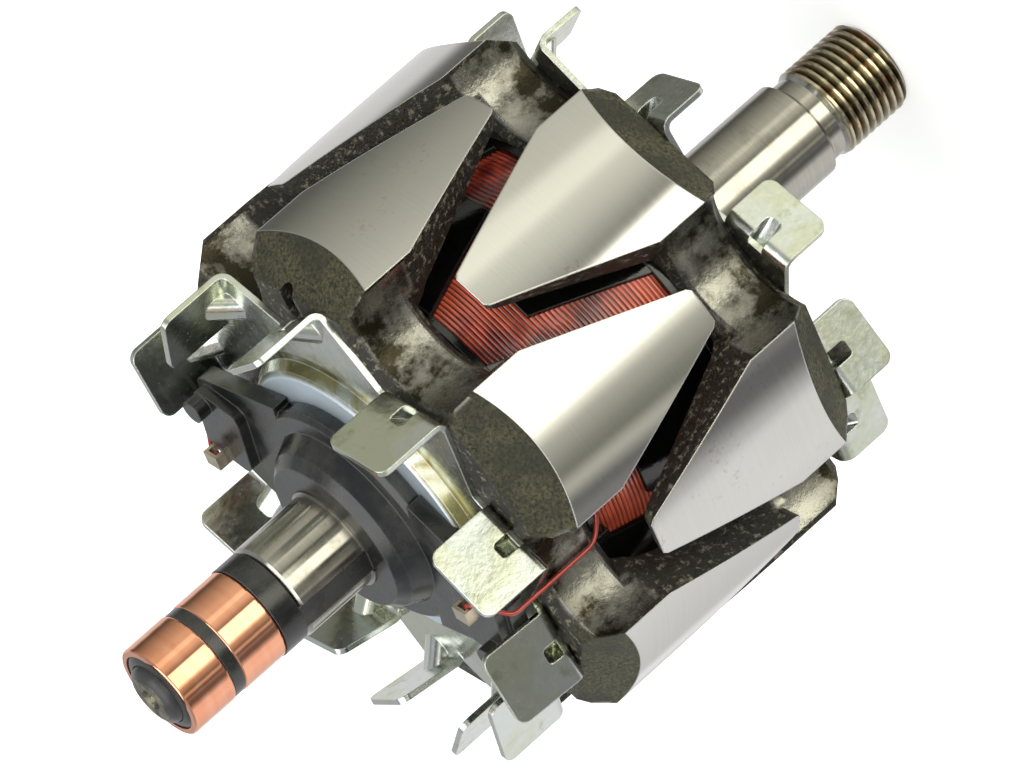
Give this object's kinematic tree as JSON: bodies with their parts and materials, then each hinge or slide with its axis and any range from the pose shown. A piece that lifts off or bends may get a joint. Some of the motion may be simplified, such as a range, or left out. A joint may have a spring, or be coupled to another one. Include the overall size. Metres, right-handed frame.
{
  "type": "alternator rotor",
  "caption": "Claw-pole alternator rotor with a red field winding, two bent-blade fans, copper slip rings and a threaded drive end",
  "frame": {"origin": "centre of the threaded end face", "axes": "+Z along the shaft towards the slip rings, +X through the middle of a claw of the rear pole half"},
  "size_m": [0.094, 0.094, 0.1551],
  "materials": {
    "ground_shaft_steel": "ground journals, darker thread",
    "forged_pole_steel": "forged and varnished, claw faces turned bright",
    "turned_core_steel": "plain turned",
    "black_nylon": "glossy moulded",
    "red_enamelled_wire": "clear red enamel over copper",
    "zinc_plated_sheet": "zinc plate with a yellow-green passivation",
    "grey_moulding": "satin grey moulding",
    "slip_ring_copper": "polished copper with brush bands",
    "terminal_brass": "dull stamped brass"
  },
  "bodies": {
    "root": {"shaft": "ground_shaft_steel", "front_pole_half": "forged_pole_steel", "rear_pole_half": "forged_pole_steel", "pole_core": "turned_core_steel", "bobbin": "black_nylon", "field_winding": "red_enamelled_wire", "front_fan": "zinc_plated_sheet", "rear_fan": "zinc_plated_sheet", "slip_ring_moulding": "grey_moulding", "outer_slip_ring": "slip_ring_copper", "inner_slip_ring": "slip_ring_copper", "outer_ring_conductor": "terminal_brass", "inner_ring_conductor": "terminal_brass", "start_lead": "red_enamelled_wire", "finish_lead": "red_enamelled_wire"}
  },
  "joints": []
}
